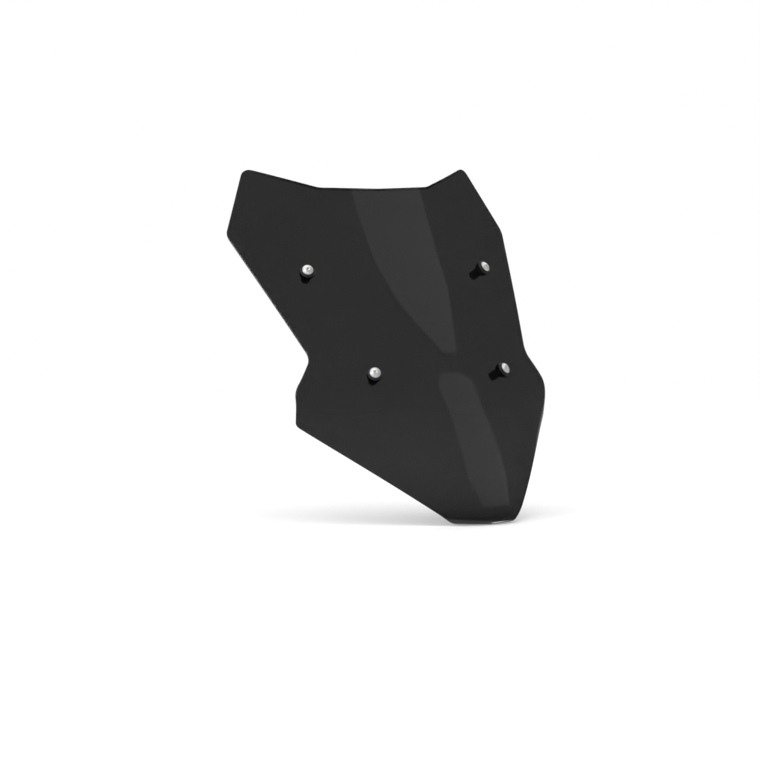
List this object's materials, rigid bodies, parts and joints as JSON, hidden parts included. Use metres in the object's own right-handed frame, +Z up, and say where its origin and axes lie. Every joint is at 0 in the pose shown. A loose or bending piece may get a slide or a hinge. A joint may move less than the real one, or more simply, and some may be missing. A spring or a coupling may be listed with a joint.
{
  "type": "motorcycle windshield screen",
  "caption": "Tall smoked sport windshield for a scooter or motorcycle: one curved, forward-raked acrylic sheet held at its sides by rubber-mounted button-head screws.",
  "frame": {"origin": "midway between the two lower fixings, on the plane through the centres of their seating faces", "axes": "+Z up as fitted; -Y forward, so the outer (wind) face looks along -Y and the rider sits on the +Y side; +X to the rider's left; the part is mirror-symmetric about X = 0"},
  "size_m": [0.3608, 0.2668, 0.3752],
  "materials": {
    "smoked_acrylic": "polished, dark smoke tint, high gloss on both faces",
    "stainless": "bright, fine turned finish",
    "black_nylon": "fine satin",
    "grommet_rubber": "matt moulded",
    "zinc_steel": "bright zinc",
    "well_nut_rubber": "matt moulded",
    "brass": "turned"
  },
  "bodies": {
    "root": {"screen_panel": "smoked_acrylic", "upper_left_screw": "stainless", "upper_left_nylon_washer": "black_nylon", "upper_left_grommet": "grommet_rubber", "upper_left_collar": "zinc_steel", "upper_left_well_nut_rubber": "well_nut_rubber", "upper_left_well_nut_insert": "brass", "upper_right_screw": "stainless", "upper_right_nylon_washer": "black_nylon", "upper_right_grommet": "grommet_rubber", "upper_right_collar": "zinc_steel", "upper_right_well_nut_rubber": "well_nut_rubber", "upper_right_well_nut_insert": "brass", "lower_left_screw": "stainless", "lower_left_nylon_washer": "black_nylon", "lower_left_grommet": "grommet_rubber", "lower_left_collar": "zinc_steel", "lower_left_well_nut_rubber": "well_nut_rubber", "lower_left_well_nut_insert": "brass", "lower_right_screw": "stainless", "lower_right_nylon_washer": "black_nylon", "lower_right_grommet": "grommet_rubber", "lower_right_collar": "zinc_steel", "lower_right_well_nut_rubber": "well_nut_rubber", "lower_right_well_nut_insert": "brass"}
  },
  "joints": []
}
